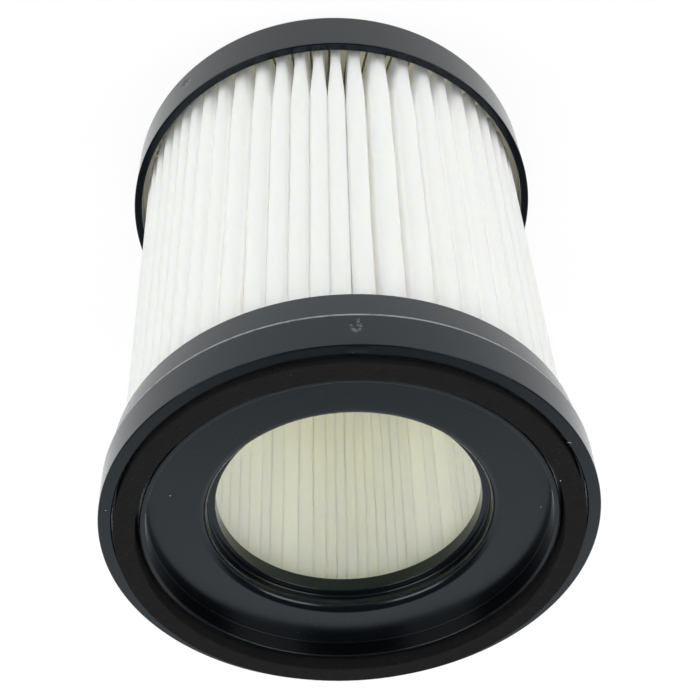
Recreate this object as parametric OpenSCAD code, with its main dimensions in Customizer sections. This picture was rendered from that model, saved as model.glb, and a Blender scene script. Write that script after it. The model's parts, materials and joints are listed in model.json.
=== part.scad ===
/* [Overall] */
// Height from the closed end to the rim of the open end
body_h = 140; // [90:1:220]

/* [Outlet] */
// Inner diameter of the collar, the narrowest part of the outlet
outlet_d = 64; // [50:0.5:90]
// Width of the ledge where the outlet steps down to the collar
ledge_w = 2; // [1.2:0.1:4]
// Depth of the ledge below the recessed face
ledge_drop = 4; // [3.5:0.1:5]
// Depth of the end of the collar below the ledge
collar_drop = 3.8; // [3.6:0.1:8]
// Radius of the rounded lip of the outlet
lip_r = 2; // [0.6:0.1:2.4]
// Wall thickness of the outlet and its collar
outlet_wall = 1.8; // [1:0.1:2.2]

/* [Pleated media] */
// Number of pleats in the ring
pleat_count = 62; // [40:1:70]
// Radial depth of a pleat, from inner fold to outer fold
pleat_depth = 19; // [12:0.5:30]
// Thickness of the filter paper
paper_t = 0.6; // [0.3:0.05:0.8]
// Bend radius at the middle of the paper
fold_r = 0.9; // [0.6:0.05:1]

/* [Front cap] */
// Height of the front cap, from its rim to its rear edge
front_cap_h = 18.9; // [16:0.1:30]
// Height of the straight band behind the rim
band_h = 10.4; // [6:0.1:14]
// Step from the band down to the rear part of the cap
band_step = 0.5; // [0.2:0.1:1]
// Taper of the rear part of the cap, on the radius
front_taper = 0.7; // [0.2:0.1:1.5]
// Wall thickness at the rear edge
front_skirt_t = 1.6; // [1:0.1:3]
// Thickness of the recessed face
face_t = 2; // [1.2:0.1:2.6]
// Depth of the recessed face below the rim
face_drop = 4.4; // [3.8:0.1:8]
// Width of the flat rim outside the gasket
rim_w = 3.2; // [2:0.1:5]
// Width of the ridge inside the gasket
ridge_w = 1.4; // [1:0.1:3]
// Fillet between the ridge and the recessed face
face_fillet = 1.5; // [0.4:0.1:2]

/* [Gasket] */
// Width of the foam ring
gasket_w = 4.6; // [3:0.1:6]
// Height of the foam ring
gasket_h = 6; // [4.5:0.1:8]
// Depth of the channel that the foam ring is glued into
channel_drop = 3.4; // [2.5:0.1:3.8]

/* [Rear cap] */
// Height of the rear cap
rear_cap_h = 15.7; // [12:0.1:30]
// Wall thickness at the edge of the rear cap
rear_skirt_t = 2.2; // [1.2:0.1:4]
// Taper of the outer wall of the rear cap, on the radius
rear_taper = 0.4; // [0.1:0.1:1.5]
// Thickness of the closed end
rear_floor_t = 2.4; // [2:0.1:4]
// Radius of the rounded edge around the closed end
rear_edge_r = 1.2; // [0.5:0.1:1.8]
// Width of the flat foot ring around the closed end
foot_w = 10; // [6:0.5:16]
// Depth of the closed end's centre above the foot ring
foot_drop = 0.8; // [0.4:0.1:1.2]
// Height of the inner ring that centres the pleats
centring_h = 6; // [4:0.1:8]

/* [Fits] */
// Radial gap between the pleats and the rings inside them
inner_fit = 0.2; // [0.1:0.05:0.6]
// Radial gap between the pleats and the front cap's skirt
front_fit = 1.2; // [0.4:0.1:3]
// Radial gap between the pleats and the rear cap's skirt
rear_fit = 1.6; // [0.4:0.1:3]
// Glue under each end of the pleats
end_glue = 0.8; // [0.4:0.1:1.2]
// Height that a cap's inner ring stands above the set glue
glue_freeboard = 0.3; // [0.1:0.1:0.8]
// Radial gap between the gasket and the rim
gasket_outer_fit = 0.5; // [0.2:0.1:1]
// Radial gap between the gasket and the ridge
gasket_inner_fit = 1.2; // [0.2:0.1:1.5]

/* [Hidden] */

// Facets around a full turn, and along one rounded edge
$fn = 180;
edge_steps = 4;
fillet_steps = 6;
// Facets along a fold, on its wide side and on its tight side
fold_steps = 3;
crease_steps = 2;

// Small roundings of the moulded edges
rim_edge_r = 0.5;
ridge_edge_r = 0.3;
step_edge_r = 0.25;
skirt_edge_r = 0.4;
collar_edge_r = 0.5;
ledge_fillet = 0.6;
gasket_edge_r = 0.4;
foot_bevel = 1;

// Radii of the outlet, from the collar outwards
outlet_r = outlet_d / 2;
bore_r = outlet_r + ledge_w;
bore_outer_r = bore_r + outlet_wall;
collar_outer_r = outlet_r + outlet_wall;

// Radii of the pleated ring
media_in_r = bore_outer_r + inner_fit;
media_r = media_in_r + pleat_depth;

// Radii of the front cap's outside, from the pleats outwards
front_skirt_in_r = media_r + front_fit;
front_skirt_r = front_skirt_in_r + front_skirt_t;
front_rear_r = front_skirt_r + front_taper;
band_r = front_rear_r + band_step;

// Radii of the front cap's face, from the rim inwards
rim_in_r = band_r - rim_w;
gasket_r = rim_in_r - gasket_outer_fit;
gasket_in_r = gasket_r - gasket_w;
ridge_r = gasket_in_r - gasket_inner_fit;
ridge_in_r = ridge_r - ridge_w;

// Depths below the rim
ledge_z = -face_drop - ledge_drop;
collar_end_z = ledge_z - collar_drop;
under_ledge_z = ledge_z - outlet_wall;
under_face_z = -face_drop - face_t;
front_glue_z = collar_end_z + glue_freeboard;

// Radii and heights of the rear cap
rear_skirt_in_r = media_r + rear_fit;
rear_r = rear_skirt_in_r + rear_skirt_t;
base_r = rear_r - rear_taper;
foot_in_r = base_r - rear_edge_r - foot_w;
centring_r = media_in_r - inner_fit;
centring_in_r = centring_r - outlet_wall;
rear_glue_z = rear_floor_t + centring_h - glue_freeboard;

// Ends of the pleats, between the two layers of glue
media_low_z = rear_floor_t + end_glue;
media_high_z = body_h + under_face_z - end_glue;

// Colours
cap_colour = [0.23, 0.24, 0.26];
foam_colour = [0.15, 0.15, 0.15];
paper_colour = [0.94, 0.94, 0.88];
glue_colour = [0.85, 0.83, 0.74];

// Points along an arc from angle a0 to angle a1
function arc(centre, r, a0, a1, steps) =
    [for (i = [0:steps]) let (a = a0 + (a1 - a0) * i / steps) centre + r * [cos(a), sin(a)]];

// A point turned about the origin
function turned(p, a) = [p.x * cos(a) - p.y * sin(a), p.x * sin(a) + p.y * cos(a)];

// Half the angle of one pleat, and the centres of its outer and inner folds
half_pitch = 180 / pleat_count;
fold_outside = fold_r + paper_t / 2;
fold_inside = fold_r - paper_t / 2;
outer_fold_c = [media_r - fold_outside, 0];
inner_fold_c = turned([media_in_r + fold_outside, 0], half_pitch);

// Each panel is the crossed tangent of the two folds, and this is the direction that it faces
panel_span = inner_fold_c - outer_fold_c;
panel_lean = asin(2 * fold_r / norm(panel_span));
panel_facing = atan2(panel_span.y, panel_span.x) - 90 + panel_lean;

// One face of the sheet around one pleat: round the outer fold, in to the inner fold and round it
function pleat_face(outer_r, outer_steps, inner_r, inner_steps) = concat(
    arc(outer_fold_c, outer_r, -panel_facing, panel_facing, outer_steps),
    arc(inner_fold_c, inner_r, 180 + panel_facing, 180 + 2 * half_pitch - panel_facing, inner_steps)
);

// The same face all the way round the ring
function ring_face(face) =
    [for (k = [0:pleat_count - 1]) for (p = face) turned(p, 2 * half_pitch * k)];

// Flat outline of the folded sheet, with its open folds facing in and out by turns
module pleat_outline() {
    difference() {
        polygon(ring_face(pleat_face(fold_outside, fold_steps, fold_inside, crease_steps)));
        polygon(ring_face(pleat_face(fold_inside, crease_steps, fold_outside, fold_steps)));
    }
}

module pleat_sheet() {
    translate([0, 0, media_low_z])
        linear_extrude(media_high_z - media_low_z)
            pleat_outline();
}

// Half section of the front cap, from its outer rim inwards over the face, down the outlet and back
// along the glued side. Heights are below the rim.
function front_cap_section() = concat(
    arc([band_r - rim_edge_r, -rim_edge_r], rim_edge_r, 0, 90, edge_steps),
    arc([rim_in_r + ridge_edge_r, -ridge_edge_r], ridge_edge_r, 90, 180, edge_steps),
    [[rim_in_r, -channel_drop], [ridge_r, -channel_drop]],
    arc([ridge_r - ridge_edge_r, -ridge_edge_r], ridge_edge_r, 0, 90, edge_steps),
    arc([ridge_in_r + ridge_edge_r, -ridge_edge_r], ridge_edge_r, 90, 180, edge_steps),
    arc([ridge_in_r - face_fillet, face_fillet - face_drop], face_fillet, 0, -90, fillet_steps),
    arc([bore_r + lip_r, -face_drop - lip_r], lip_r, 90, 180, fillet_steps),
    arc([bore_r - ledge_fillet, ledge_z + ledge_fillet], ledge_fillet, 0, -90, edge_steps),
    arc([outlet_r + collar_edge_r, ledge_z - collar_edge_r], collar_edge_r, 90, 180, edge_steps),
    [
        [outlet_r, collar_end_z],
        [collar_outer_r, collar_end_z],
        [collar_outer_r, under_ledge_z],
        [bore_outer_r, under_ledge_z],
        [bore_outer_r, under_face_z],
        [front_skirt_in_r, under_face_z],
        [front_skirt_in_r, -front_cap_h]
    ],
    arc([front_skirt_r - skirt_edge_r, skirt_edge_r - front_cap_h], skirt_edge_r, -90, 0, edge_steps),
    [[front_rear_r, -band_h]],
    arc([band_r - step_edge_r, step_edge_r - band_h], step_edge_r, -90, 0, edge_steps)
);

// Half section of the rear cap, from the middle of the closed end out to the skirt and back inside
function rear_cap_section() = concat(
    [[0, foot_drop], [foot_in_r - foot_bevel, foot_drop], [foot_in_r, 0]],
    arc([base_r - rear_edge_r, rear_edge_r], rear_edge_r, -90, 0, fillet_steps),
    arc([rear_r - skirt_edge_r, rear_cap_h - skirt_edge_r], skirt_edge_r, 0, 90, edge_steps),
    [
        [rear_skirt_in_r, rear_cap_h],
        [rear_skirt_in_r, rear_floor_t],
        [centring_r, rear_floor_t],
        [centring_r, rear_floor_t + centring_h],
        [centring_in_r, rear_floor_t + centring_h],
        [centring_in_r, rear_floor_t],
        [0, rear_floor_t]
    ]
);

// Large moulded cap at the open end, with the outlet, the recessed face and the gasket channel
module front_cap() {
    color(cap_colour)
        translate([0, 0, body_h])
            rotate_extrude()
                polygon(front_cap_section());
}

// Foam ring glued into the channel, standing proud of the rim
module gasket() {
    top_z = gasket_h - channel_drop;
    color(foam_colour)
        translate([0, 0, body_h])
            rotate_extrude()
                polygon(concat(
                    [[gasket_in_r, -channel_drop], [gasket_r, -channel_drop]],
                    arc([gasket_r - gasket_edge_r, top_z - gasket_edge_r], gasket_edge_r, 0, 90, edge_steps),
                    arc([gasket_in_r + gasket_edge_r, top_z - gasket_edge_r], gasket_edge_r, 90, 180, edge_steps)
                ));
}

// One sheet of filter paper folded into a ring
module pleated_media() {
    color(paper_colour)
        pleat_sheet();
}

// Moulded cap that closes the far end and carries the pleats on a foot ring
module rear_cap() {
    color(cap_colour)
        rotate_extrude()
            polygon(rear_cap_section());
}

// Set glue around the front end of the pleats, level with the end of the collar
module front_potting() {
    color(glue_colour)
        difference() {
            translate([0, 0, body_h])
                rotate_extrude()
                    polygon([
                        [bore_outer_r, under_face_z],
                        [bore_outer_r, under_ledge_z],
                        [collar_outer_r, under_ledge_z],
                        [collar_outer_r, front_glue_z],
                        [front_skirt_in_r, front_glue_z],
                        [front_skirt_in_r, under_face_z]
                    ]);
            pleat_sheet();
        }
}

// Set glue around the rear end of the pleats, between the centring ring and the skirt
module rear_potting() {
    color(glue_colour)
        difference() {
            rotate_extrude()
                polygon([
                    [centring_r, rear_floor_t],
                    [rear_skirt_in_r, rear_floor_t],
                    [rear_skirt_in_r, rear_glue_z],
                    [centring_r, rear_glue_z]
                ]);
            pleat_sheet();
        }
}

front_cap();
gasket();
pleated_media();
rear_cap();
front_potting();
rear_potting();
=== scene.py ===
"""Dresses the pleated cartridge filter: moulded caps, foam gasket, folded paper, glue and dust."""

import json
import logging
import math
import random
from dataclasses import dataclass, field
from enum import Enum
from typing import Any, Callable, Sequence

import bmesh
import bpy
import numpy as np
from mathutils import Matrix, Vector, noise

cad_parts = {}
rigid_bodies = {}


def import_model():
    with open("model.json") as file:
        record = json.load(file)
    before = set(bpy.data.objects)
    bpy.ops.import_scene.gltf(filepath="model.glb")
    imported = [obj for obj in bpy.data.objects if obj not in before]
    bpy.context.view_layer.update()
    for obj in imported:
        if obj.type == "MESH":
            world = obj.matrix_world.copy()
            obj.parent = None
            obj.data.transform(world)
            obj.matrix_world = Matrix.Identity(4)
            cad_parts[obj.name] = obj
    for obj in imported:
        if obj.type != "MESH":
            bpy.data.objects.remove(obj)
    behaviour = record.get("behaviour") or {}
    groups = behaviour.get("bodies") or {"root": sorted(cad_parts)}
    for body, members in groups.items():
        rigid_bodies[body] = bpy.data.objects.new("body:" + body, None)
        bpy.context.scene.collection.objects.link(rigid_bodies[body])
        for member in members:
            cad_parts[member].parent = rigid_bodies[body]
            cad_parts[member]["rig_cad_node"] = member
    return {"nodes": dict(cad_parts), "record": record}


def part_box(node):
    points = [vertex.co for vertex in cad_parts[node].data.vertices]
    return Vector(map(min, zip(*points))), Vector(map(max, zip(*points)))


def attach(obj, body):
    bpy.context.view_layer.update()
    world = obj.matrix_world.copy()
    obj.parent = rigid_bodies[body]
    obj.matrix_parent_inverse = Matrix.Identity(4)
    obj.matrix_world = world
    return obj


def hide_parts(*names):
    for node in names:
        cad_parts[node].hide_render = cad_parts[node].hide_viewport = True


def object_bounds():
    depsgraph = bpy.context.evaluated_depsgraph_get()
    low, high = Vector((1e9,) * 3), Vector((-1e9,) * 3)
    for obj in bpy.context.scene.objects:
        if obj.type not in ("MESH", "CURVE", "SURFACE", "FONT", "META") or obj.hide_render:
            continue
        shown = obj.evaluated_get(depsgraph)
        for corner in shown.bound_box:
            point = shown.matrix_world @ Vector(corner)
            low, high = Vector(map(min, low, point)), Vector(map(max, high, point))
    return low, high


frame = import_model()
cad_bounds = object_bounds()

LOG = logging.getLogger("vacuum_filter")
MM = 0.001
BODY = "root"

Point = tuple[float, float]
Colour = tuple[float, float, float]

WARM: Colour = (1.0, 0.87, 0.79)


class Slot(Enum):
    """The material slots of the record."""

    PLASTIC = "cap_plastic"
    FOAM = "gasket_foam"
    PAPER = "filter_paper"
    GLUE = "potting_glue"


class Reach(Enum):
    """What a lamp lights: every surface, or only its matt or its glossy part."""

    ALL = "all"
    MATT = "matt"
    GLOSS = "gloss"


class Socket:
    """One output of a shader node, which adds Math nodes through Python's operators."""

    def __init__(self, tree: "ShaderTree", output: bpy.types.NodeSocket) -> None:
        """Keeps the tree that new nodes go into and the wrapped output."""
        self.tree = tree
        self.output = output

    def _math(self, operation: str, *values: "Socket | float") -> "Socket":
        """Adds one Math node that works on the given values in order."""
        return self.tree.node(
            "ShaderNodeMath", {"operation": operation}, dict(enumerate(values))
        )

    def __add__(self, other: "Socket | float") -> "Socket":
        """Returns self + other."""
        return self._math("ADD", self, other)

    def __radd__(self, other: float) -> "Socket":
        """Returns other + self."""
        return self._math("ADD", other, self)

    def __sub__(self, other: "Socket | float") -> "Socket":
        """Returns self - other."""
        return self._math("SUBTRACT", self, other)

    def __rsub__(self, other: float) -> "Socket":
        """Returns other - self."""
        return self._math("SUBTRACT", other, self)

    def __mul__(self, other: "Socket | float") -> "Socket":
        """Returns self * other."""
        return self._math("MULTIPLY", self, other)

    def __rmul__(self, other: float) -> "Socket":
        """Returns other * self."""
        return self._math("MULTIPLY", other, self)

    def __truediv__(self, other: "Socket | float") -> "Socket":
        """Returns self / other."""
        return self._math("DIVIDE", self, other)

    def __pow__(self, exponent: float) -> "Socket":
        """Returns self raised to a power."""
        return self._math("POWER", self, exponent)

    def maximum(self, other: "Socket | float") -> "Socket":
        """Returns the larger of the two values."""
        return self._math("MAXIMUM", self, other)

    def minimum(self, other: "Socket | float") -> "Socket":
        """Returns the smaller of the two values."""
        return self._math("MINIMUM", self, other)

    def ease(self, low: float, high: float) -> "Socket":
        """Eases from 0 to 1 as the value goes from low to high.

        Args:
            low: The value that gives 0. It may be above high, for a falling ease.
            high: The value that gives 1.

        Returns:
            The eased value.
        """
        settings = {"interpolation_type": "SMOOTHSTEP"}
        return self.tree.node("ShaderNodeMapRange", settings, {0: self, 1: low, 2: high})


class ShaderTree:
    """Builds the node tree of a material or a world."""

    def __init__(self, owner: bpy.types.Material | bpy.types.World) -> None:
        """Clears the owner's nodes.

        Args:
            owner: The material or world whose tree is built.
        """
        owner.use_nodes = True
        self.nodes = owner.node_tree.nodes
        self.links = owner.node_tree.links
        self.nodes.clear()

    def node(
        self,
        kind: str,
        settings: dict[str, Any] | None = None,
        inputs: dict[str | int, Any] | None = None,
        output: str | int = 0,
    ) -> Socket:
        """Adds a node of any type.

        Args:
            kind: The node's type name.
            settings: The node's own settings. A ramp's colours are given as stops.
            inputs: Values or links of its sockets, by name or place.
            output: The name or place of the output to use.

        Returns:
            The chosen output.
        """
        made = self.nodes.new(kind)
        for name, value in (settings or {}).items():
            if name == "stops":
                self._set_stops(made.color_ramp.elements, value)
            else:
                setattr(made, name, value)
        for name, value in (inputs or {}).items():
            if isinstance(value, Socket):
                self.links.new(value.output, made.inputs[name])
            else:
                made.inputs[name].default_value = value
        return Socket(self, made.outputs[output])

    @staticmethod
    def _set_stops(elements: Any, stops: Sequence[tuple[float, Colour]]) -> None:
        """Gives a colour ramp its stops."""
        while len(elements) < len(stops):
            elements.new(1.0)
        for element, (place, colour) in zip(elements, stops):
            element.position = place
            element.color = (*colour, 1.0)

    def place(self) -> Socket:
        """Returns the place of the shaded point on its object, in metres."""
        return self.node("ShaderNodeTexCoord", output="Object")

    def noise(self, place: Socket, grain: float, detail: float = 2.0) -> Socket:
        """Adds a noise texture.

        Args:
            place: The vector that the noise is read at.
            grain: The size of one grain in metres.
            detail: The number of finer layers.

        Returns:
            The noise, from 0 to 1.
        """
        inputs = {"Vector": place, "Scale": 1.0 / grain, "Detail": detail}
        return self.node("ShaderNodeTexNoise", None, inputs)

    def stretch(self, place: Socket, scale: Sequence[float]) -> Socket:
        """Scales a vector along its three axes."""
        return self.node("ShaderNodeVectorMath", {"operation": "MULTIPLY"}, {0: place, 1: scale})

    def part(self, vector: Socket, axis: str) -> Socket:
        """Returns one part of a vector, such as the height of a place."""
        return self.node("ShaderNodeSeparateXYZ", None, {0: vector}, axis)

    def radius(self, place: Socket) -> Socket:
        """Returns how far a place lies from the Z axis."""
        flat = self.stretch(place, (1.0, 1.0, 0.0))
        return self.node("ShaderNodeVectorMath", {"operation": "LENGTH"}, {0: flat}, "Value")

    def outward(self, place: Socket) -> Socket:
        """Returns 1 where the surface faces away from the Z axis, and -1 where it faces it."""
        facing = self.node("ShaderNodeTexCoord", output="Normal")
        flat = self.stretch(place, (1.0, 1.0, 0.0))
        inputs = {0: facing, 1: flat}
        along = self.node("ShaderNodeVectorMath", {"operation": "DOT_PRODUCT"}, inputs, "Value")
        return along / self.radius(place)

    def mix(self, factor: Socket | float, low: Socket | Colour, high: Socket | Colour) -> Socket:
        """Mixes two colours.

        Args:
            factor: The share of the second colour.
            low: The colour at 0.
            high: The colour at 1.

        Returns:
            The mixed colour.
        """
        low, high = ((*c, 1.0) if isinstance(c, tuple) else c for c in (low, high))
        inputs = {"Factor": factor, "A": low, "B": high}
        made = self.nodes.new("ShaderNodeMix")
        made.data_type = "RGBA"
        for name, value in inputs.items():
            socket = next(s for s in made.inputs if s.name == name and s.enabled)
            if isinstance(value, Socket):
                self.links.new(value.output, socket)
            else:
                socket.default_value = value
        return Socket(self, next(s for s in made.outputs if s.enabled))

    def bump(self, height: Socket, depth: float, strength: float = 1.0) -> Socket:
        """Turns a height from 0 to 1 into a normal.

        Args:
            height: The height.
            depth: How deep a height of 1 is, in metres.
            strength: The share of the effect.

        Returns:
            The bent normal.
        """
        inputs = {"Strength": strength, "Distance": depth, "Height": height}
        return self.node("ShaderNodeBump", None, inputs)

    def surface(self, shader: Socket, kind: str = "ShaderNodeOutputMaterial") -> None:
        """Puts a shader on the owner's surface output."""
        made = self.nodes.new(kind)
        self.links.new(shader.output, made.inputs["Surface"])


@dataclass(frozen=True)
class MoldedPlastic:
    """Black satin plastic with a faint flow, fine grain, settled dust and a painted highlight line along the
    band's lower edge.
    """

    name: str = "molded_plastic"
    tone: Colour = (0.0018, 0.0024, 0.0030)
    tone_worn: Colour = (0.0036, 0.0044, 0.0054)
    # The colour of the painted highlight line along the band's lower edge.
    painted_step_highlight: Colour = (0.245, 0.250, 0.252)
    tone_torn: Colour = (0.115, 0.120, 0.125)
    dust: Colour = (0.22, 0.22, 0.21)
    ior: float = 1.50
    roughness: float = 0.19
    roughness_range: float = 0.06
    flow: float = 16 * MM
    grain: float = 0.35 * MM
    speck: float = 0.55 * MM
    bump_depth: float = 0.004 * MM
    gate_crumbs: tuple[tuple[float, float, float], ...] = ()
    crumb_r: float = 0.56 * MM
    # Height, width and least radius of the painted highlight line.
    step_glint_z: float = 0.0
    step_glint_w: float = 0.80 * MM
    step_glint_r: float = 52 * MM

    def material(self) -> bpy.types.Material:
        """Builds the plastic.

        Returns:
            The material.
        """
        made = bpy.data.materials.new(self.name)
        tree = ShaderTree(made)
        place = tree.place()
        flow = tree.noise(place, self.flow, 3.0)
        grain = tree.noise(place, self.grain, 3.0)
        specks = tree.noise(place, self.speck, 0.0).ease(0.86, 0.90)
        scuffs = tree.noise(tree.stretch(place, (1.0, 1.0, 0.3)), 3 * MM, 4.0).ease(0.55, 0.75)
        colour = tree.mix(scuffs * 0.6 + flow * 0.2, self.tone, self.tone_worn)
        colour = tree.mix(specks * 0.12, colour, self.dust)
        rough = self.roughness + self.roughness_range * (flow - 0.5) + 0.05 * grain
        rough = rough + specks * 0.3
        height = grain
        near: Socket | float = 1.0
        for crumb in self.gate_crumbs:
            away = tree.node(
                "ShaderNodeVectorMath", {"operation": "DISTANCE"}, {0: place, 1: crumb}, "Value"
            )
            near = away.minimum(near)
        torn = near.ease(self.crumb_r, 0.15 * self.crumb_r)
        strokes = tree.noise(place, 0.5 * MM, 2.0).ease(0.25, 0.55)
        colour = tree.mix(torn * strokes, colour, self.tone_torn)
        rough = rough + torn * 0.25
        # Painted highlight: a pale line on the band's lower edge, broken up by noise, stands for the light that
        # edge catches.
        above = tree.part(place, "Z") - self.step_glint_z
        step_glint = above.ease(self.step_glint_w + 0.1 * MM, self.step_glint_w) * above.ease(-0.1 * MM, 0.0)
        step_glint = step_glint * tree.radius(place).ease(self.step_glint_r - 1 * MM, self.step_glint_r)
        glint_breakup = tree.noise(place, 2.5 * MM, 3.0).ease(0.25, 0.5)
        colour = tree.mix(step_glint * (0.5 + 0.5 * glint_breakup), colour, self.painted_step_highlight)
        shader = tree.node(
            "ShaderNodeBsdfPrincipled",
            None,
            {
                "Base Color": colour,
                "Roughness": rough,
                "IOR": self.ior,
                "Specular Tint": (0.74, 0.88, 1.0, 1.0),
                "Sheen Weight": 0.35,
                "Sheen Roughness": 0.2,
                "Normal": tree.bump(height, self.bump_depth),
            },
        )
        tree.surface(shader)
        return made


@dataclass(frozen=True)
class CellFoam:
    """Matte black foam with small open cells, caught lint and a painted lighter tone on its sides."""

    name: str = "cell_foam"
    tone: Colour = (0.0060, 0.0062, 0.0063)
    tone_high: Colour = (0.0150, 0.0148, 0.0144)
    # Painted light: the sides are given a lighter tone than the tops, by which way they face.
    painted_side_light: Colour = (0.0125, 0.0124, 0.0122)
    lint: Colour = (0.24, 0.22, 0.18)
    cell: float = 0.42 * MM
    bump_depth: float = 0.16 * MM

    def material(self) -> bpy.types.Material:
        """Builds the foam.

        Returns:
            The material.
        """
        made = bpy.data.materials.new(self.name)
        tree = ShaderTree(made)
        place = tree.place()
        cells = tree.node(
            "ShaderNodeTexVoronoi",
            {"feature": "SMOOTH_F1"},
            {"Vector": place, "Scale": 1.0 / self.cell},
            "Distance",
        )
        patches = tree.noise(place, 2.2 * MM, 3.0)
        lint = tree.noise(place, 0.45 * MM, 1.0).ease(0.74, 0.80)
        colour = tree.mix(patches * 0.9 * cells, self.tone, self.tone_high)
        # Painted light: faces that turn away from up take the lighter side tone.
        facing = tree.node("ShaderNodeTexCoord", output="Normal")
        upward = tree.part(facing, "Z").ease(0.3, 0.9)
        colour = tree.mix(upward, self.painted_side_light, colour)
        colour = tree.mix(lint * patches.ease(0.35, 0.6) * 0.25, colour, self.lint)
        height = 1.0 - cells + 0.6 * patches
        shader = tree.node(
            "ShaderNodeBsdfPrincipled",
            None,
            {
                "Base Color": colour,
                "Roughness": 0.8 + 0.15 * cells,
                "Specular IOR Level": 0.12,
                "Normal": tree.bump(height, self.bump_depth),
            },
        )
        tree.surface(shader)
        return made


@dataclass(frozen=True)
class FilterPaper:
    """Soft white filter paper that lets light through, clouded and fibrous, with painted light inside the ring and
    painted shade on the outer crests.
    """

    name: str = "filter_paper"
    tone: Colour = (0.997, 0.997, 0.992)
    tone_thick: Colour = (0.993, 0.993, 0.984)
    # Painted light inside the ring: a cream tint for light filtered through the paper, with painted shade towards
    # the open end.
    painted_filtered_light: Colour = (0.970, 0.969, 0.850)
    painted_mouth_shade: Colour = (0.925, 0.945, 0.878)
    # Painted shade for the outermost crests.
    painted_crest_shade: Colour = (0.83, 0.843, 0.822)
    inside_r: float = 42 * MM
    crest_shade_r: float = 54.2 * MM
    cloud: float = 5 * MM
    fibre: float = 0.5 * MM
    scatter: float = 0.5 * MM
    bump_depth: float = 0.035 * MM

    def material(self) -> bpy.types.Material:
        """Builds the paper.

        Returns:
            The material.
        """
        made = bpy.data.materials.new(self.name)
        tree = ShaderTree(made)
        place = tree.place()
        cloud = tree.noise(place, self.cloud, 4.0)
        fibre = tree.noise(tree.stretch(place, (1.0, 1.0, 0.45)), self.fibre, 3.0)
        colour = tree.mix(cloud.ease(0.3, 0.75) * 0.8 + fibre * 0.2, self.tone, self.tone_thick)
        radius = tree.radius(place)
        # Painted light: faces turned to the axis inside the ring get a cream tint for filtered light, darkened
        # towards the open end as painted shade.
        inside = radius.ease(self.inside_r + 2 * MM, self.inside_r - 4 * MM)
        inside = inside * tree.outward(place).ease(0.0, -0.5)
        mouth_shade = tree.part(place, "Z").ease(75 * MM, 112 * MM)
        colour = tree.mix(inside, colour, tree.mix(mouth_shade, self.painted_filtered_light, self.painted_mouth_shade))
        # Painted shade: the outermost crests, where the light falls most, are darkened.
        ridge = radius.ease(self.crest_shade_r - 1.6 * MM, self.crest_shade_r)
        colour = tree.mix(ridge, colour, self.painted_crest_shade)
        shader = tree.node(
            "ShaderNodeBsdfPrincipled",
            None,
            {
                "Base Color": colour,
                "Roughness": 0.9,
                "Specular IOR Level": 0.15,
                "Subsurface Weight": 1.0,
                "Subsurface Radius": (1.0, 1.0, 0.8),
                "Subsurface Scale": self.scatter,
                "Sheen Weight": 0.05,
                "Normal": tree.bump(fibre + cloud, self.bump_depth),
            },
        )
        tree.surface(shader)
        return made


@dataclass(frozen=True)
class SetGlue:
    """Cream adhesive, set with a dull skin and low ripples."""

    name: str = "set_glue"
    tone: Colour = (0.62, 0.59, 0.44)
    tone_pale: Colour = (0.74, 0.72, 0.60)

    def material(self) -> bpy.types.Material:
        """Builds the glue.

        Returns:
            The material.
        """
        made = bpy.data.materials.new(self.name)
        tree = ShaderTree(made)
        ripple = tree.noise(tree.place(), 3 * MM, 2.0)
        shader = tree.node(
            "ShaderNodeBsdfPrincipled",
            None,
            {
                "Base Color": tree.mix(ripple, self.tone, self.tone_pale),
                "Roughness": 0.35 + 0.2 * ripple,
                "Normal": tree.bump(ripple, 0.3 * MM),
            },
        )
        tree.surface(shader)
        return made


@dataclass(frozen=True)
class Lint:
    """Pale grey household dust and short fibres."""

    name: str = "lint"
    tone: Colour = (0.30, 0.31, 0.31)
    tone_pale: Colour = (0.45, 0.46, 0.45)

    def material(self) -> bpy.types.Material:
        """Builds the lint.

        Returns:
            The material.
        """
        made = bpy.data.materials.new(self.name)
        tree = ShaderTree(made)
        fuzz = tree.noise(tree.place(), 0.1 * MM, 2.0)
        shader = tree.node(
            "ShaderNodeBsdfPrincipled",
            None,
            {
                "Base Color": tree.mix(fuzz, self.tone, self.tone_pale),
                "Roughness": 0.95,
                "Normal": tree.bump(fuzz, 0.03 * MM),
            },
        )
        tree.surface(shader)
        return made


def arc(centre: Point, radius: float, start: float, end: float, steps: int) -> list[Point]:
    """Returns points along an arc.

    Args:
        centre: The arc's centre.
        radius: Its radius.
        start: The angle of the first point, in degrees.
        end: The angle of the last point, in degrees.
        steps: The number of chords.

    Returns:
        The points, both ends included.
    """
    angles = [math.radians(start + (end - start) * i / steps) for i in range(steps + 1)]
    return [(centre[0] + radius * math.cos(a), centre[1] + radius * math.sin(a)) for a in angles]


def ladder(start: Point, end: Point, pitch: float) -> list[Point]:
    """Returns evenly spaced points between two points, both left out.

    Args:
        start: The first end.
        end: The last end.
        pitch: About how far the points are apart.

    Returns:
        The points between the ends.
    """
    steps = max(1, round(math.dist(start, end) / pitch))
    shares = [i / steps for i in range(1, steps)]
    return [tuple(a + (b - a) * t for a, b in zip(start, end)) for t in shares]


def ease(value: float, low: float, high: float) -> float:
    """Eases from 0 to 1 as the value goes from low to high."""
    share = min(1.0, max(0.0, (value - low) / (high - low)))
    return share * share * (3 - 2 * share)


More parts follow.
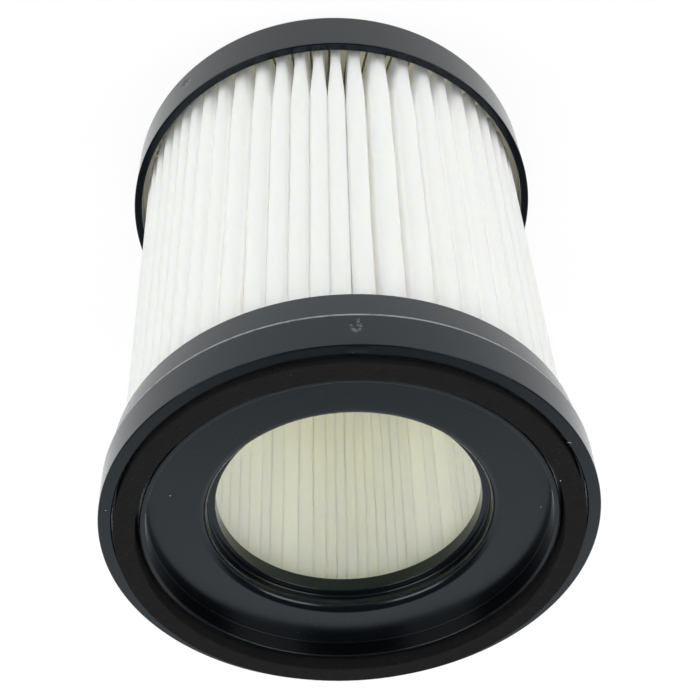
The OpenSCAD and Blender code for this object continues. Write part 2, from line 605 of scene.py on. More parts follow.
def revolve(
    name: str,
    section: Sequence[Point],
    angles: Sequence[float],
    relief: Callable[[float, float, float], float] | None = None,
) -> bpy.types.Object:
    """Turns a closed half section about the Z axis.

    Args:
        name: The name of the new object.
        section: Radius and height of each point, walked so that the outside is on its right.
        angles: The angles of the rows, in degrees, in rising order.
        relief: Gives the change of radius at a radius, height and angle.

    Returns:
        The new object, with smooth faces.
    """
    mesh = bmesh.new()
    rows = []
    on_axis = {
        i: mesh.verts.new((0.0, 0.0, z)) for i, (r, z) in enumerate(section) if r < 1e-7
    }
    for angle in angles:
        c, s = math.cos(math.radians(angle)), math.sin(math.radians(angle))
        row = []
        for i, (r, z) in enumerate(section):
            if i in on_axis:
                row.append(on_axis[i])
                continue
            out = r + (relief(r, z, angle) if relief else 0.0)
            row.append(mesh.verts.new((out * c, out * s, z)))
        rows.append(row)
    for this, following in zip(rows, rows[1:] + rows[:1]):
        for i in range(len(section)):
            j = (i + 1) % len(section)
            corners = list(dict.fromkeys((this[i], this[j], following[j], following[i])))
            if len(corners) > 2:
                mesh.faces.new(corners)
    bmesh.ops.recalc_face_normals(mesh, faces=mesh.faces)
    return finish_mesh(name, mesh)


def finish_mesh(name: str, mesh: bmesh.types.BMesh) -> bpy.types.Object:
    """Turns a bmesh into a smooth object in the scene.

    Args:
        name: The name of the new object.
        mesh: The bmesh, which is freed.

    Returns:
        The new object.
    """
    data = bpy.data.meshes.new(name)
    mesh.to_mesh(data)
    mesh.free()
    data.polygons.foreach_set("use_smooth", [True] * len(data.polygons))
    made = bpy.data.objects.new(name, data)
    bpy.context.scene.collection.objects.link(made)
    return made


def dress(
    piece: bpy.types.Object,
    material: bpy.types.Material,
    replaced: str | None = None,
) -> None:
    """Gives a piece its finish and ties it to the frame.

    Args:
        piece: The piece.
        material: Its finish.
        replaced: The CAD node that the piece stands for.
    """
    piece.data.materials.clear()
    piece.data.materials.append(material)
    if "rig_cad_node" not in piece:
        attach(piece, BODY)
    if replaced:
        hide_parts(replaced)
    LOG.info("%s: %d faces, finish %s", piece.name, len(piece.data.polygons), material.name)


def soften_flats(piece: bpy.types.Object) -> None:
    """Keeps flat faces flat under smooth shading, and edges above 40 degrees sharp."""
    piece.data.set_sharp_from_angle(angle=math.radians(40))
    weights = piece.modifiers.new("flat faces", "WEIGHTED_NORMAL")
    weights.mode = "FACE_AREA"
    weights.keep_sharp = True


@dataclass
class GateMark:
    """The torn spot that a moulding gate leaves in a shallow dish on a round wall."""

    angle: float
    height: float
    wall_r: float
    scale: float = 1.0
    dish_r: float = 2.2 * MM
    dish_depth: float = 0.12 * MM
    crumb_r: float = 0.32 * MM
    crumbs: tuple[Point, ...] = (
        (1.05, -0.45), (0.80, 0.65), (0.60, 1.20), (0.25, 1.45), (-0.15, 1.35), (0.45, 0.80),
        (-0.65, 0.75), (-0.95, -0.10), (-1.00, -0.65), (-0.40, -0.60), (-0.42, -1.50), (-0.45, -2.20),
    )

    def spots(self) -> list[Point]:
        """Returns how far each crumb lies from the middle, along the wall and up it."""
        return [(u * self.scale * MM, v * self.scale * MM) for u, v in self.crumbs]

    def places(self) -> tuple[tuple[float, float, float], ...]:
        """Returns the place of each crumb on the wall."""
        turned = [(math.radians(self.angle) + u / self.wall_r, v) for u, v in self.spots()]
        return tuple(
            (self.wall_r * math.cos(a), self.wall_r * math.sin(a), self.height + v) for a, v in turned
        )

    def relief(self, radius: float, z: float, angle: float) -> float:
        """Gives the change of radius near the mark, never above the wall.

        Args:
            radius: The wall's radius at the point.
            z: The point's height.
            angle: The point's angle, in degrees.

        Returns:
            The change of radius, 0 or less.
        """
        turn = (angle - self.angle + 180.0) % 360.0 - 180.0
        here = (math.radians(turn) * self.wall_r, z - self.height)
        away = math.hypot(*here)
        if away > self.dish_r or abs(radius - self.wall_r) > 0.5 * MM:
            return 0.0
        nearest = min(math.dist(here, spot) for spot in self.spots())
        dish = self.dish_depth * (1 - ease(away, 0.3 * self.dish_r, self.dish_r))
        return -dish * ease(nearest, 0.3 * self.crumb_r, self.crumb_r)

    def angles(self) -> list[float]:
        """Returns angles for a full turn, closer together across the mark."""
        half = math.degrees(self.dish_r / self.wall_r)
        coarse = [self.angle + half + (360 - 2 * half) * i / 358 for i in range(358)]
        fine = [self.angle - half + 2 * half * i / 44 for i in range(44)]
        return sorted(coarse + fine)

    def rungs(self, start: Point, end: Point) -> list[Point]:
        """Returns points along a wall, closer together across the mark.

        Args:
            start: One end of the wall in section.
            end: The other end.

        Returns:
            The points between the ends, in order from start to end.
        """
        down = start[1] > end[1]
        reach = self.dish_r if down else -self.dish_r

        def wall(z: float) -> Point:
            """Returns the wall's point at a height."""
            share = (z - start[1]) / (end[1] - start[1])
            return (start[0] + (end[0] - start[0]) * share, z)

        near, far = wall(self.height + reach), wall(self.height - reach)
        return (
            ladder(start, near, 1.5 * MM)
            + [near]
            + ladder(near, far, 0.11 * MM)
            + [far]
            + ladder(far, end, 1.5 * MM)
        )


@dataclass
class FrontCap:
    """The moulded cap at the open end, with the stepped outlet and the gasket channel."""

    rim_z: float
    band_r: float
    outlet_r: float
    low_z: float
    band_h: float = 10.4 * MM
    band_step: float = 0.5 * MM
    taper: float = 1.15 * MM
    skirt_t: float = 1.6 * MM
    rim_w: float = 3.2 * MM
    channel_w: float = 6.3 * MM
    channel_drop: float = 3.4 * MM
    ridge_w: float = 1.4 * MM
    face_drop: float = 4.4 * MM
    face_t: float = 2.0 * MM
    face_fillet: float = 0.15 * MM
    ledge_w: float = 2.0 * MM
    ledge_drop: float = 4.0 * MM
    collar_drop: float = 3.8 * MM
    lip_r: float = 2.0 * MM
    wall: float = 1.8 * MM
    rim_edge: float = 0.3 * MM
    rim_draft: float = 0.07 * MM
    ridge_edge: float = 0.4 * MM
    step_edge: float = 0.60 * MM
    skirt_edge: float = 0.4 * MM
    collar_edge: float = 0.5 * MM
    gate_angle: float = -93.5
    gate_drop: float = 5.9 * MM

    def gate(self) -> GateMark:
        """Returns the gate mark on the band."""
        return GateMark(self.gate_angle, self.rim_z - self.gate_drop, self.band_r)

    def section(self) -> list[Point]:
        """Returns the half section, from the outer rim inwards and back along the glued side."""
        rim = self.rim_z
        rim_in = self.band_r - self.rim_w
        ridge = rim_in - self.channel_w
        ridge_in = ridge - self.ridge_w
        bore = self.outlet_r + self.ledge_w
        face = rim - self.face_drop
        ledge = face - self.ledge_drop
        collar_end = ledge - self.collar_drop
        rear = self.band_r - self.band_step
        skirt = rear - self.taper
        band_low = rim - self.band_h
        e, f, g = self.rim_edge, self.ridge_edge, self.collar_edge
        points = arc((self.band_r - e, rim - self.rim_draft - e), e, 0, 90, 8)
        points += arc((rim_in + f, rim - f), f, 90, 180, 8)
        points += [(rim_in, rim - self.channel_drop), (ridge, rim - self.channel_drop)]
        points += arc((ridge - f, rim - f), f, 0, 90, 8)
        points += arc((ridge_in + f, rim - f), f, 90, 180, 8)
        points += arc((ridge_in - self.face_fillet, face + self.face_fillet), self.face_fillet, 0, -90, 12)
        points += ladder((ridge_in - self.face_fillet, face), (bore + self.lip_r, face), 1.2 * MM)
        points += arc((bore + self.lip_r, face - self.lip_r), self.lip_r, 90, 180, 20)
        points += arc((bore - 0.6 * MM, ledge + 0.6 * MM), 0.6 * MM, 0, -90, 8)
        points += arc((self.outlet_r + g, ledge - g), g, 90, 180, 8)
        points += [
            (self.outlet_r, collar_end),
            (self.outlet_r + self.wall, collar_end),
            (self.outlet_r + self.wall, ledge - self.wall),
            (bore + self.wall, ledge - self.wall),
            (bore + self.wall, face - self.face_t),
            (skirt - self.skirt_t, face - self.face_t),
            (skirt - self.skirt_t, self.low_z),
        ]
        points += arc(
            (skirt - self.skirt_edge, self.low_z + self.skirt_edge), self.skirt_edge, -90, 0, 8
        )
        points += ladder(points[-1], (rear, band_low), 1.5 * MM)
        points += [(rear, band_low)]
        s = self.step_edge
        points += arc((self.band_r - s, band_low + s), s, -90, 0, 10)
        points += self.gate().rungs(points[-1], points[0])
        return points

    def build(self, material: bpy.types.Material) -> None:
        """Builds the cap and ties it to the frame."""
        gate = self.gate()
        piece = revolve("front_cap_shell", self.section(), gate.angles(), gate.relief)
        soften_flats(piece)
        dress(piece, material, "front_cap")


@dataclass
class RearCap:
    """The moulded cap at the closed end, which the filter stands on."""

    high_z: float
    outer_r: float
    skirt_t: float = 2.2 * MM
    taper: float = 0.4 * MM
    floor_t: float = 2.4 * MM
    edge: float = 1.2 * MM
    foot_w: float = 10.0 * MM
    foot_drop: float = 0.8 * MM
    foot_bevel: float = 1.0 * MM
    centring_r: float = 35.8 * MM
    centring_h: float = 6.0 * MM
    wall: float = 1.8 * MM
    skirt_edge: float = 0.4 * MM
    gate_angle: float = -47.6
    gate_height: float = 6.3 * MM

    def gate(self) -> GateMark:
        """Returns the gate mark low on the wall."""
        wall_r = self.outer_r - self.taper * (1 - self.gate_height / self.high_z)
        return GateMark(self.gate_angle, self.gate_height, wall_r, scale=0.8)

    def section(self) -> list[Point]:
        """Returns the half section, from the middle of the closed end out and back inside."""
        base = self.outer_r - self.taper
        foot_in = base - self.edge - self.foot_w
        skirt_in = self.outer_r - self.skirt_t
        inner = self.centring_r - self.wall
        top = self.floor_t + self.centring_h
        bevel_r = foot_in - self.foot_bevel
        points = [(0.0, self.foot_drop)]
        points += ladder((0.0, self.foot_drop), (bevel_r, self.foot_drop), 6 * MM)
        points += [(bevel_r, self.foot_drop), (foot_in, 0.0)]
        points += arc((base - self.edge, self.edge), self.edge, -90, 0, 12)
        wall_top = (self.outer_r, self.high_z - self.skirt_edge)
        points += self.gate().rungs(points[-1], wall_top)
        points += arc(
            (self.outer_r - self.skirt_edge, self.high_z - self.skirt_edge), self.skirt_edge, 0, 90, 8
        )
        points += arc((skirt_in + 0.3 * MM, self.high_z - 0.3 * MM), 0.3 * MM, 90, 180, 6)
        points += [
            (skirt_in, self.floor_t),
            (self.centring_r, self.floor_t),
            (self.centring_r, top),
            (inner, top),
            (inner, self.floor_t),
            (0.0, self.floor_t),
        ]
        return points

    def build(self, material: bpy.types.Material) -> None:
        """Builds the cap and ties it to the frame."""
        gate = self.gate()
        piece = revolve("rear_cap_shell", self.section(), gate.angles(), gate.relief)
        soften_flats(piece)
        dress(piece, material, "rear_cap")


@dataclass
class FoamGasket:
    """The foam ring, glued into its channel and pressed lower on one side."""

    inner_r: float
    outer_r: float
    low_z: float
    high_z: float
    pressed: float = 1.0 * MM
    edge: float = 0.25 * MM
    waist: float = 0.12 * MM
    roughness: float = 0.05 * MM
    waviness: float = 0.5 * MM
    crowding: float = 0.2 * MM
    outer_waviness: float = 0.3 * MM
    turns: int = 900

    def section(self) -> list[Point]:
        """Returns the half section of the free foam."""
        e = self.edge
        points = [(self.inner_r, self.low_z)]
        points += ladder(points[0], (self.outer_r, self.low_z), 1.2 * MM)
        points += [(self.outer_r, self.low_z)]
        points += ladder(points[-1], (self.outer_r, self.high_z - e), 0.6 * MM)
        points += arc((self.outer_r - e, self.high_z - e), e, 0, 90, 5)
        points += ladder(points[-1], (self.inner_r + e, self.high_z), 0.45 * MM)
        points += arc((self.inner_r + e, self.high_z - e), e, 90, 180, 5)
        points += ladder(points[-1], points[0], 0.6 * MM)
        return points

    def build(self, material: bpy.types.Material) -> None:
        """Builds the ring, presses it and roughens its skin."""
        angles = [360 * i / self.turns for i in range(self.turns)]
        piece = revolve("foam_gasket", self.section(), angles)
        height = self.high_z - self.low_z
        middle = (self.inner_r + self.outer_r) / 2
        for vertex in piece.data.vertices:
            x, y, z = vertex.co
            radius, share = math.hypot(x, y), (z - self.low_z) / height
            side = 0.5 - 0.5 * y / radius
            swell = noise.noise(Vector((x, y, 0.0)) / (9 * MM)) * 0.12 * MM
            drop = self.pressed * side ** 1.5 + max(0.0, swell)
            grain = noise.noise(vertex.co / (0.5 * MM)) * self.roughness * ease(share, 0.1, 0.5)
            pull = self.waist * math.sin(math.pi * share) * (1 if radius < middle else -1)
            wave = noise.noise(Vector((x, y, 7.0)) / (14 * MM)) + 0.4 * noise.noise(Vector((x, y, 3.0)) / (4 * MM))
            inward = self.crowding + abs(wave) * self.waviness
            wave = -(inward if radius < middle else abs(wave) * self.outer_waviness * side)
            scale = (radius + pull + wave + (grain if radius < middle else -abs(grain))) / radius
            free = z - drop * ease(share, 0.0, 1.0) - abs(grain)
            vertex.co = (x * scale, y * scale, max(self.low_z, min(self.high_z, free)))
        dress(piece, material, "gasket")


@dataclass
class PleatedMedia:
    """One sheet of filter paper, folded into a ring of uneven pleats."""

    inner_r: float
    outer_r: float
    low_z: float
    high_z: float
    rear_cap_z: float
    paper_t: float = 0.55 * MM
    back_start: float = 32.5
    back_pitches: tuple[float, ...] = (
        6.2, 5.7, 6.7, 4.6, 6.3, 7.1, 6.8, 5.6, 4.1, 4.2, 4.3,
        4.3, 3.9, 4.3, 4.2, 4.1, 4.8, 7.2, 5.1, 7.8, 4.4, 4.2,
    )
    front_pitches: tuple[float, ...] = (
        6.3, 6.3, 7.6, 5.3, 7.1, 7.1, 8.1, 6.2, 5.1, 5.1,
        5.6, 5.4, 6.7, 7.1, 5.2, 6.0, 4.7, 4.5, 4.5,
    )
    right_span: float = 62.9
    side_steps: int = 21
    crest_share: float = 0.40
    crest_share_pinched: float = 0.28
    crest_share_crowded: float = 0.48
    fold_share: float = 0.545
    pinch_reach: float = 20 * MM
    bulge: float = 0.35 * MM
    fold_flatness: float = 0.08
    fold_flatness_open: float = 0.80
    open_angle: float = 91.0
    crest_flatness: float = 0.62
    flat_reach: float = 9 * MM
    skew: float = 3.1 * MM
    wander: float = 0.28
    fold_wander: float = 0.22
    rows: int = 34
    crest_steps: int = 8
    fold_steps: int = 6
    panel_steps: int = 4
    seed: int = 11
    turn_angles: np.ndarray = field(init=False)

    def __post_init__(self) -> None:
        """Works out the angles of the crests and folds by turns, in degrees."""
        rng = random.Random(self.seed)
        left_span = 360.0 - self.right_span - sum(self.back_pitches) - sum(self.front_pitches)
        halves = [p / 2 for p in self.back_pitches for _ in range(2)]
        halves += self._side(rng, self.right_span)
        halves += [p / 2 for p in self.front_pitches for _ in range(2)]
        halves += self._side(rng, left_span)
        self.turn_angles = self.back_start + np.cumsum([0.0] + halves[:-1])

    def _side(self, rng: random.Random, span: float) -> list[float]:
        """Shares a span among half pitches that differ a little."""
        raw = [rng.uniform(0.9, 1.1) for _ in range(self.side_steps)]
        return [span * share / sum(raw) for share in raw]

    def _pitches(self) -> np.ndarray:
        """Returns the angle between the two neighbours of each turn, in degrees."""
        turns = self.turn_angles
        return (np.roll(turns, -1) - np.roll(turns, 1)) % 360.0

    def _heights(self) -> np.ndarray:
        """Returns the heights of the rows, closer together at the caps."""
        share = np.linspace(0.0, 1.0, self.rows)
        share = share - np.sin(4 * np.pi * share) / (4 * np.pi) * 0.55
        return self.low_z + (self.high_z - self.low_z) * share

    def _wander(self, z: np.ndarray) -> np.ndarray:
        """Returns how far each turn wanders from its angle at each row, in degrees."""
        out = np.zeros((len(z), len(self.turn_angles)))
        room = np.clip((self._pitches() - 4.4) / 2.2, 0.1, 1)
        for i in range(out.shape[1]):
            amount = self.fold_wander if i % 2 else self.wander * room[i]
            for j, height in enumerate(z):
                slow = noise.noise(Vector((height / (38 * MM), i * 7.3, 0.5)))
                quick = noise.noise(Vector((height / (11 * MM), i * 3.1, 4.5)))
                out[j, i] = amount * (1.5 * slow + 0.35 * quick)
        held = np.clip((z - self.low_z) / (12 * MM), 0, 1) * np.clip((self.high_z - z) / (12 * MM), 0, 1)
        return out * np.sqrt(held)[:, None]

    def _circles(self, z: np.ndarray) -> tuple[np.ndarray, np.ndarray, np.ndarray]:
        """Returns the centres, radii and angles of the bends at each row.

        Args:
            z: The heights of the rows.

        Returns:
            Centres (rows, turns, 2), radii (rows, turns) and angles in radians (rows, turns).
        """
        turns = self.turn_angles
        middle = (self.low_z + self.high_z) / 2
        sideways = self.skew * (z - middle) / (self.high_z - self.low_z)
        crest = np.arange(len(turns)) % 2 == 0
        level = np.where(crest, self.outer_r, self.inner_r)
        lean = -sideways[:, None] * np.sin(np.radians(turns)) / level
        angles = np.radians(turns + self._wander(z)) + lean
        pitch = self._pitches()
        open_share = np.clip((z - self.rear_cap_z) / self.pinch_reach, 0, 1)
        open_share = (open_share * open_share * (3 - 2 * open_share))[:, None]
        crowded = np.clip((6.5 - pitch) / 1.4, 0, 1)[None, :]
        full_share = self.crest_share + (self.crest_share_crowded - self.crest_share) * crowded
        crest_share = self.crest_share_pinched + (full_share - self.crest_share_pinched) * open_share
        share = np.where(crest[None, :], crest_share, self.fold_share)
        skin = share * np.radians(pitch)[None, :] * level[None, :]
        skin = np.clip(skin, 0.8 * MM, 2.7 * MM)
        radii = skin - self.paper_t / 2
        uneven = np.array([noise.noise(Vector((i * 5.7, 2.2, 9.1))) for i in range(len(turns))])
        shift = np.abs(uneven) * np.where(crest, -0.5 * MM, 0.15 * MM)
        reach = np.where(crest[None, :], self.outer_r - skin, self.inner_r + skin) + shift[None, :]
        centres = np.stack([reach * np.cos(angles), reach * np.sin(angles)], -1)
        return centres, radii, angles

    def outline(self, z: np.ndarray) -> tuple[np.ndarray, np.ndarray]:
        """Returns the middle line of the sheet and the way it faces, at each row.

        Args:
            z: The heights of the rows.

        Returns:
            Points and unit normals, both (rows, points, 2). The normals face the outside.
        """
        centres, radii, angles = self._circles(z)
        nxt = np.roll(centres, -1, axis=1)
        span = nxt - centres
        length = np.linalg.norm(span, axis=-1, keepdims=True)
        along = span / length
        across = np.stack([-along[..., 1], along[..., 0]], -1)
        ccw = np.stack([-np.sin(angles), np.cos(angles)], -1)
        across *= np.sign((across * ccw).sum(-1, keepdims=True))
        sine = (radii + np.roll(radii, -1, axis=1))[..., None] / length
        leave = np.sqrt(1 - sine**2) * across + sine * along
        arrive = -np.roll(leave, 1, axis=1)
        crest = np.arange(centres.shape[1]) % 2 == 0
        points, normals = [], []
        for i in range(centres.shape[1]):
            base = angles[:, i] + (0.0 if crest[i] else np.pi)
            start = np.arctan2(arrive[:, i, 1], arrive[:, i, 0]) - base
            end = np.arctan2(leave[:, i, 1], leave[:, i, 0]) - base
            start, end = (np.arctan2(np.sin(a), np.cos(a)) for a in (start, end))
            steps = self.crest_steps if crest[i] else self.fold_steps
            facing = 1.0 if crest[i] else -1.0
            for k in range(steps + 1):
                a = base + start + (end - start) * k / steps
                d = np.stack([np.cos(a), np.sin(a)], -1)
                points.append(centres[:, i] + radii[:, i, None] * d)
                normals.append(facing * d)
            j = (i + 1) % centres.shape[1]
            first = centres[:, i] + radii[:, i, None] * leave[:, i]
            last = centres[:, j] - radii[:, j, None] * leave[:, i]
            for k in range(1, self.panel_steps):
                t = k / self.panel_steps
                bow = self.bulge * math.sin(math.pi * t)
                points.append(first + (last - first) * t + facing * leave[:, i] * bow)
                normals.append(facing * leave[:, i])
        return self._flatten(np.stack(points, 1)), np.stack(normals, 1)

    def _flatten(self, points: np.ndarray) -> np.ndarray:
        """Presses the folds and crests flatter, the folds more, and keeps how far they reach."""
        radius = np.linalg.norm(points, axis=-1, keepdims=True)
        low, high = self.inner_r + self.paper_t / 2, self.outer_r - self.paper_t / 2
        turn = np.degrees(np.arctan2(points[..., 1:], points[..., :1]))
        away = np.abs((turn - self.open_angle + 180.0) % 360.0 - 180.0)
        opened = np.clip((20.0 - away) / 11.0, 0, 1)
        fold_flatness = self.fold_flatness + (self.fold_flatness_open - self.fold_flatness) * opened
        out = radius
        for edge, flatness in ((low, fold_flatness), (high, self.crest_flatness)):
            depth = radius - edge
            share = np.clip(np.abs(depth) / self.flat_reach, 0, 1)
            kept = flatness + (1 - flatness) * share * share * (3 - 2 * share)
            out = out - depth * (1 - kept)
        return points * out / radius

    def build(self, material: bpy.types.Material) -> None:
        """Builds the sheet as a closed skin and ties it to the frame."""
        z = self._heights()
        points, normals = self.outline(z)
        rows, count = points.shape[:2]
        heights = np.repeat(z[:, None, None], count, axis=1)
        half = self.paper_t / 2
        skins = [np.concatenate([points + side * half * normals, heights], -1) for side in (1, -1)]
        vertices = np.concatenate([s.reshape(-1, 3) for s in skins])
        outside = np.arange(rows * count).reshape(rows, count)
        inside = outside + rows * count
        around = np.roll(outside, -1, axis=1)
        around_in = np.roll(inside, -1, axis=1)
        quads = [
            np.stack([outside[:-1], around[:-1], around[1:], outside[1:]], -1),
            np.stack([inside[1:], around_in[1:], around_in[:-1], inside[:-1]], -1),
            np.stack([outside[-1:], around[-1:], around_in[-1:], inside[-1:]], -1),
            np.stack([inside[:1], around_in[:1], around[:1], outside[:1]], -1),
        ]
        faces = np.concatenate([q.reshape(-1, 4) for q in quads])
        data = bpy.data.meshes.new("pleated_paper")
        data.from_pydata(vertices.tolist(), [], faces.tolist())
        data.polygons.foreach_set("use_smooth", [True] * len(data.polygons))
        data.set_sharp_from_angle(angle=math.radians(60))
        piece = bpy.data.objects.new("pleated_paper", data)
        bpy.context.scene.collection.objects.link(piece)
        dress(piece, material, "pleated_media")


@dataclass
class Dust:
    """The specks and the short fibre that lie on the open end."""

    face_z: float
    rim_z: float
    foam_z: float
    seed: int = 5

    def specks(self) -> list[tuple[float, float, float, float]]:
        """Returns x, y, z and size of each speck that shows."""
        face, rim, foam = self.face_z, self.rim_z, self.foam_z
        placed = [
            (41.4, -11.6, face, 0.28),
            (-45.5, -0.2, face, 0.26),
            (-48.2, 8.2, face, 0.24),
            (55.8, -12.7, rim, 0.26),
            (-48.2, -16.2, foam, 0.24),
        ]
        return [(x * MM, y * MM, z, size * MM) for x, y, z, size in placed]

    def build(self, material: bpy.types.Material) -> None:
        """Builds the specks and the fibre and ties them to the frame."""
        rng = random.Random(self.seed)
        for i, (x, y, z, size) in enumerate(self.specks()):
            mesh = bmesh.new()
            bmesh.ops.create_icosphere(mesh, subdivisions=2, radius=size / 2)
            for vertex in mesh.verts:
                vertex.co *= rng.uniform(0.8, 1.2)
                vertex.co.z *= 0.6
            bmesh.ops.translate(mesh, vec=(x, y, z + 0.22 * size), verts=mesh.verts)
            dress(finish_mesh(f"dust_speck_{i + 1}", mesh), material)
        self._fibre(rng, material)

    def _fibre(self, rng: random.Random, material: bpy.types.Material) -> None:
        """Builds one short bent fibre on the rim."""
        start = Vector((-49.4 * MM, -26.2 * MM, self.rim_z + 0.05 * MM))
        path = [start + Vector((-0.2 * k * MM, 0.02 * k * MM, 0.0)) for k in range(6)]
        mesh = bmesh.new()
        rings = []
        for k, centre in enumerate(path):
            wave = 0.06 * MM * math.sin(1.7 * k)
            ring = []
            for j in range(6):
                a = math.tau * j / 6
                r = 0.05 * MM * rng.uniform(0.85, 1.15)
                ring.append(mesh.verts.new(centre + Vector((0.0, wave + r * math.cos(a), r * math.sin(a)))))
            rings.append(ring)
        for this, following in zip(rings, rings[1:]):
            for j in range(6):
                mesh.faces.new((this[j], this[j - 1], following[j - 1], following[j]))
        mesh.faces.new(rings[0])
        mesh.faces.new(rings[-1][::-1])
        bmesh.ops.recalc_face_normals(mesh, faces=mesh.faces)
        dress(finish_mesh("lint_fibre", mesh), material)


@dataclass
class SoftBox:
    """A soft studio lamp, placed by the way it lies from the filter."""

    name: str
    direction: tuple[float, float, float]
    distance: float
    width: float
    height: float
    power: float
    reach: Reach = Reach.MATT
    colour: Colour = (1.0, 1.0, 1.0)


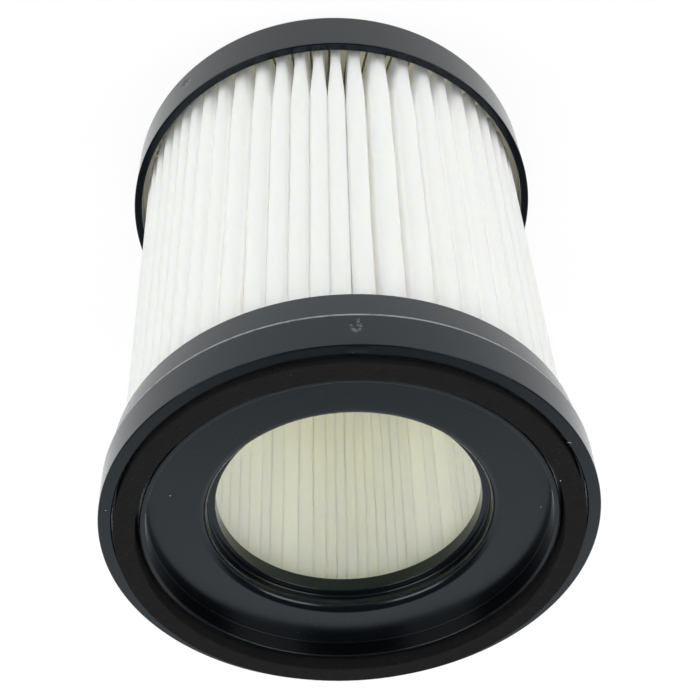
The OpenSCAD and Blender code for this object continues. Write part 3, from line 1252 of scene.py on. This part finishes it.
@dataclass
class Studio:
    """Pale floor, soft light and the camera at the photograph's view."""

    target: Vector
    lens: float = 74.22
    camera_place: tuple[float, float, float] = (0.00043, -0.25845, 0.36469)
    camera_forward: tuple[float, float, float] = (-0.0079, 0.6665, -0.7455)
    camera_up: tuple[float, float, float] = (-0.0568, -0.7446, -0.6651)
    floor_size: float = 8.0
    floor_colour: Colour = (0.90, 0.90, 0.90)
    floor_glow: float = 0.9
    sky: float = 0.28
    light_bounces: int = 40
    boxes: tuple[SoftBox, ...] = (
        SoftBox("left_strip", (-0.65, -0.49, 0.59), 1.3, 0.82, 0.34, 5.4, Reach.GLOSS, WARM),
        SoftBox("right_strip", (0.62, -0.52, 0.59), 1.3, 0.82, 0.34, 5.4, Reach.GLOSS, WARM),
        SoftBox("left_box", (-0.42, -0.08, 0.90), 1.3, 0.42, 0.60, 5.6),
        SoftBox("right_box", (0.46, -0.06, 0.88), 1.3, 0.42, 0.60, 5.6),
        SoftBox("left_panel", (1.0, -0.35, 0.12), 1.5, 1.0, 0.9, 2.4),
        SoftBox("right_panel", (-1.0, -0.35, 0.12), 1.5, 1.0, 0.9, 2.4),
        SoftBox("fill_panel", (0.0, -0.545, 0.84), 1.5, 0.9, 0.9, 9.0),
        SoftBox("front_panel", (0.0, -1.0, 0.10), 1.5, 0.9, 0.9, 3.5),
        SoftBox("top_panel", (0.0, 0.35, 0.94), 1.5, 0.9, 0.9, 4.2),
        SoftBox("back_panel", (0.0, 1.0, 0.30), 1.5, 1.2, 0.9, 6.0),
    )

    def _seen(self, tree: ShaderTree) -> Socket:
        """Returns 1 for rays that show the background: straight, mirrored or through glass."""
        rays = [tree.node("ShaderNodeLightPath", output=f"Is {kind} Ray")
                for kind in ("Camera", "Glossy", "Transmission")]
        return rays[0].maximum(rays[1]).maximum(rays[2])

    def floor(self) -> None:
        """Lays the pale floor, which shows white and keeps the shadow."""
        bpy.ops.mesh.primitive_plane_add(size=self.floor_size)
        plane = bpy.context.object
        plane.name = "floor"
        made = bpy.data.materials.new("pale_floor")
        tree = ShaderTree(made)
        paint = tree.node("ShaderNodeBsdfDiffuse", None, {"Color": (*self.floor_colour, 1.0)})
        glow = tree.node("ShaderNodeEmission", None, {"Color": (1, 1, 1, 1), "Strength": 1.0})
        share = self._seen(tree) * self.floor_glow
        tree.surface(tree.node("ShaderNodeMixShader", None, {0: share, 1: paint, 2: glow}))
        plane.data.materials.append(made)

    def world(self) -> None:
        """Sets a soft white sky that mirrors dimmer overhead, where the room is dark."""
        world = bpy.data.worlds.new("white_tent")
        bpy.context.scene.world = world
        tree = ShaderTree(world)
        ray = tree.node("ShaderNodeTexCoord", output="Generated")
        up = tree.node("ShaderNodeSeparateXYZ", None, {0: ray}, "Z")
        back = tree.node("ShaderNodeSeparateXYZ", None, {0: ray}, "Y")
        overhead = up.ease(0.15, 0.45) * (1.0 - back.ease(0.35, 0.60) * up.ease(0.80, 0.72))
        mirrored = 1.0 - 0.95 * overhead
        glossy = tree.node("ShaderNodeLightPath", output="Is Glossy Ray")
        seen = self._seen(tree)
        strength = glossy * mirrored + (seen - glossy) * 1.0 + (1.0 - seen) * self.sky
        shader = tree.node("ShaderNodeBackground", None, {"Strength": strength})
        tree.surface(shader, "ShaderNodeOutputWorld")

    def lamps(self) -> None:
        """Hangs the soft lamps, all facing the filter."""
        for box in self.boxes:
            lamp = bpy.data.lights.new(box.name, "AREA")
            lamp.shape = "RECTANGLE"
            lamp.size, lamp.size_y = box.width, box.height
            lamp.energy = box.power
            lamp.color = box.colour
            made = bpy.data.objects.new(box.name, lamp)
            away = Vector(box.direction).normalized()
            made.location = self.target + away * box.distance
            made.visible_camera = False
            made.visible_glossy = box.reach is not Reach.MATT
            made.visible_diffuse = box.reach is not Reach.GLOSS
            made.rotation_euler = away.to_track_quat("Z", "Y").to_euler()
            bpy.context.scene.collection.objects.link(made)

    def camera(self) -> None:
        """Sets the camera where the photograph was taken from."""
        data = bpy.data.cameras.new("camera")
        data.lens = self.lens
        data.sensor_width = 36.0
        made = bpy.data.objects.new("camera", data)
        forward = Vector(self.camera_forward).normalized()
        right = forward.cross(Vector(self.camera_up)).normalized()
        up = right.cross(forward)
        axes = Matrix((right, up, -forward)).transposed()
        made.matrix_world = Matrix.Translation(self.camera_place) @ axes.to_4x4()
        bpy.context.scene.collection.objects.link(made)
        bpy.context.scene.camera = made

    def build(self) -> None:
        """Builds the whole studio."""
        self.camera()
        self.floor()
        self.world()
        self.lamps()
        scene = bpy.context.scene
        scene.view_settings.view_transform = "Standard"
        scene.cycles.max_bounces = self.light_bounces + 4
        scene.cycles.diffuse_bounces = self.light_bounces
        LOG.info("studio: %d lamps", len(self.boxes))


def mount_radius(name: str) -> float:
    """Returns the radius of a mount of the record, in metres."""
    mounts = {m["name"]: m for m in frame["record"]["mounts"]}
    return mounts[name]["dims"]["r_mm"] * MM


def main() -> None:
    """Builds the studio and every piece of the filter, in order."""
    logging.basicConfig(level=logging.INFO, format="%(name)s: %(message)s")
    front_low, front_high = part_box("front_cap")
    gasket_low, gasket_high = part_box("gasket")
    media_low, media_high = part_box("pleated_media")
    rear_low, rear_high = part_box("rear_cap")
    Studio(target=(cad_bounds[0] + cad_bounds[1]) / 2).build()

    front = FrontCap(front_high.z, mount_radius("front_band"), mount_radius("outlet_bore"), front_low.z)
    rear = RearCap(rear_high.z, rear_high.x)
    step_glint_z = front.rim_z - front.band_h
    front.build(MoldedPlastic(gate_crumbs=front.gate().places(), step_glint_z=step_glint_z).material())
    rear.build(MoldedPlastic("molded_plastic_rear", ior=1.39, gate_crumbs=rear.gate().places(), step_glint_z=step_glint_z).material())
    FoamGasket(gasket_high.x - 4.6 * MM, gasket_high.x, gasket_low.z, gasket_high.z).build(
        CellFoam().material()
    )
    PleatedMedia(36 * MM, 55 * MM, media_low.z, media_high.z, rear_high.z).build(
        FilterPaper().material()
    )
    glue = SetGlue().material()
    for node in ("front_potting", "rear_potting"):
        dress(frame["nodes"][node], glue)
    Dust(front_high.z - front.face_drop, front_high.z, gasket_high.z - 0.4 * MM).build(
        Lint().material()
    )


if __name__ == "__main__":
    main()
    bpy.context.view_layer.update()
